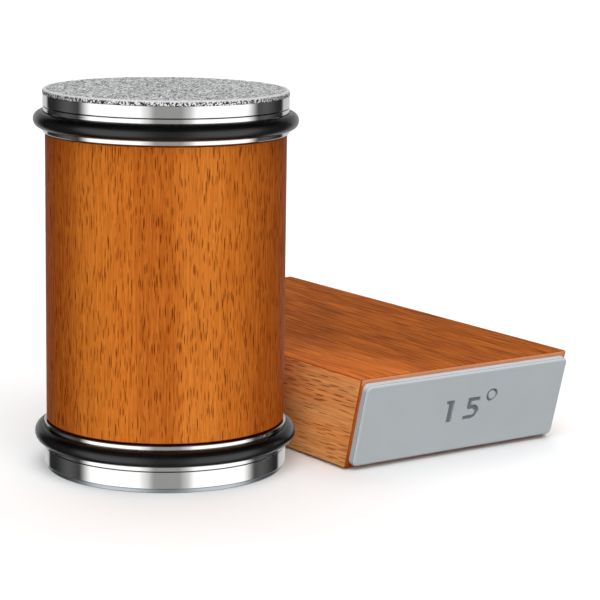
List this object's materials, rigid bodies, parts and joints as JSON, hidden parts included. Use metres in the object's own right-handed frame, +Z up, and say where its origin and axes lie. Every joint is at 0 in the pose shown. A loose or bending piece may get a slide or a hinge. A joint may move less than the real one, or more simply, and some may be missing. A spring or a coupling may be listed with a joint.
{
  "type": "rolling knife sharpener set",
  "caption": "Hand roller with a diamond disc and a honing disc on steel wheels with rubber tyres, and a wooden magnetic angle block that holds the blade.",
  "frame": {"origin": "middle of the set's box, on the surface that roller and block stand on", "axes": "+Z up, along the roller's axis; +X from the roller to the block, across the block's width; the block's 15 degree end points to -Y and its 20 degree end to +Y"},
  "size_m": [0.1101, 0.1071, 0.078],
  "materials": {
    "barrel_wood": "orange-brown stained hardwood, satin lacquer, short dark pores along the grain",
    "block_wood": "redder brown stained hardwood, satin lacquer, grain along the block",
    "polished_steel": "mirror-polished turned steel",
    "steel": "machined steel",
    "aluminium": "machined aluminium",
    "magnet": "nickel-plated magnet",
    "rubber": "black satin nitrile rubber",
    "cage": "moulded nylon",
    "diamond_grit": "diamond grit plated on steel",
    "honing_steel": "blue-grey ground steel",
    "pad": "grey satin moulded plastic",
    "mat": "black anti-slip rubber"
  },
  "bodies": {
    "angle_block": {"angle_block": "block_wood", "pad_15": "pad", "pad_20": "pad", "keeper_15": "steel", "keeper_20": "steel", "magnet_15_left": "magnet", "magnet_15_right": "magnet", "magnet_20_left": "magnet", "magnet_20_right": "magnet", "base_mat": "mat"},
    "honing_disc": {"honing_carrier": "polished_steel", "honing_plate": "honing_steel"},
    "wheelset": {"axle": "steel", "race_spacer": "aluminium", "diamond_end_wheel": "polished_steel", "diamond_end_o_ring": "rubber", "diamond_end_ring_magnet": "magnet", "diamond_end_wheel_screw": "steel", "diamond_end_collar": "steel", "diamond_end_inner_race": "steel", "honing_end_wheel": "polished_steel", "honing_end_o_ring": "rubber", "honing_end_ring_magnet": "magnet", "honing_end_wheel_screw": "steel", "honing_end_collar": "steel", "honing_end_inner_race": "steel"},
    "grip": {"grip_barrel": "barrel_wood", "barrel_liner": "aluminium", "diamond_end_outer_race": "steel", "diamond_end_outer_shield": "steel", "diamond_end_inner_shield": "steel", "diamond_end_circlip": "steel", "honing_end_outer_race": "steel", "honing_end_outer_shield": "steel", "honing_end_inner_shield": "steel", "honing_end_circlip": "steel"},
    "diamond_end_balls": {"diamond_end_cage": "cage", "diamond_end_ball_1": "polished_steel", "diamond_end_ball_2": "polished_steel", "diamond_end_ball_3": "polished_steel", "diamond_end_ball_4": "polished_steel", "diamond_end_ball_5": "polished_steel", "diamond_end_ball_6": "polished_steel", "diamond_end_ball_7": "polished_steel"},
    "honing_end_balls": {"honing_end_cage": "cage", "honing_end_ball_1": "polished_steel", "honing_end_ball_2": "polished_steel", "honing_end_ball_3": "polished_steel", "honing_end_ball_4": "polished_steel", "honing_end_ball_5": "polished_steel", "honing_end_ball_6": "polished_steel", "honing_end_ball_7": "polished_steel"},
    "diamond_disc": {"diamond_carrier": "polished_steel", "diamond_plate": "diamond_grit"}
  },
  "joints": [
    {"name": "roller_lift", "type": "slide", "parent": "angle_block", "child": "honing_disc", "axis": [0, 0, 1], "range_m": [0, 0.12]},
    {"name": "honing_disc_release", "type": "slide", "parent": "honing_disc", "child": "wheelset", "axis": [0, 0, 1], "range_m": [0, 0.015]},
    {"name": "grip_spin", "type": "hinge", "parent": "wheelset", "child": "grip", "pos_m": [-0.02805, -0.02135, 0.03945], "axis": [0, 0, 1], "continuous": true},
    {"name": "diamond_end_cage_spin", "type": "hinge", "parent": "wheelset", "child": "diamond_end_balls", "pos_m": [-0.02805, -0.02135, 0.0632], "axis": [0, 0, 1], "continuous": true},
    {"name": "honing_end_cage_spin", "type": "hinge", "parent": "wheelset", "child": "honing_end_balls", "pos_m": [-0.02805, -0.02135, 0.0157], "axis": [0, 0, 1], "continuous": true},
    {"name": "diamond_disc_release", "type": "slide", "parent": "wheelset", "child": "diamond_disc", "axis": [0, 0, 1], "range_m": [0, 0.015]}
  ],
  "couplings": [
    {"joint": "diamond_end_cage_spin", "follows": "grip_spin", "ratio": 0.632},
    {"joint": "honing_end_cage_spin", "follows": "grip_spin", "ratio": 0.632}
  ]
}
